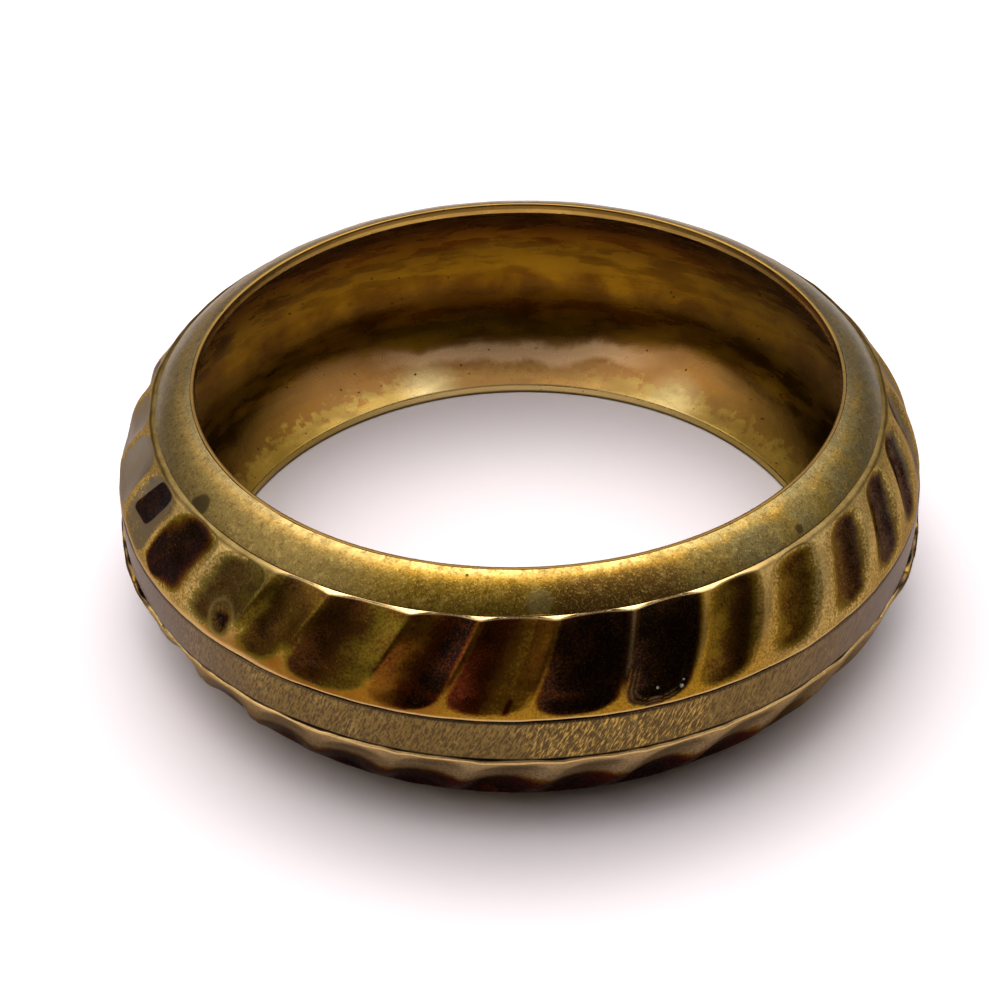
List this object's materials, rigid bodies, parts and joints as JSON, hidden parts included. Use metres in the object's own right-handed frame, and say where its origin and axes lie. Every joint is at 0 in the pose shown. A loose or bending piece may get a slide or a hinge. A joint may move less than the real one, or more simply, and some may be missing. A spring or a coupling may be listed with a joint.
{
  "type": "bangle bracelet",
  "caption": "Wide slip-on brass bangle: smooth barrel-shaped liner, domed outside with leaning scooped flutes above and below a plain centre belt, and a sloping collar at each rim.",
  "frame": {"origin": "centre of the opening, on the plane of the lower rim", "axes": "+Z along the wrist opening, up from the rim that it rests on; X and Y are two diameters, and -Y is the front"},
  "size_m": [0.0806, 0.0806, 0.0254],
  "materials": {
    "liner_brass": "polished, lightly tarnished",
    "collar_brass": "satin, lightly tarnished",
    "fluted_brass": "polished scoops with dark patina",
    "belt_brass": "satin, scratched",
    "solder": "matte, darkened"
  },
  "bodies": {
    "root": {"inner_liner": "liner_brass", "upper_collar": "collar_brass", "lower_collar": "collar_brass", "upper_fluted_band": "fluted_brass", "lower_fluted_band": "fluted_brass", "centre_belt": "belt_brass", "upper_rim_solder": "solder", "lower_rim_solder": "solder", "upper_seam_solder": "solder", "lower_seam_solder": "solder", "upper_belt_solder": "solder", "lower_belt_solder": "solder"}
  },
  "joints": []
}
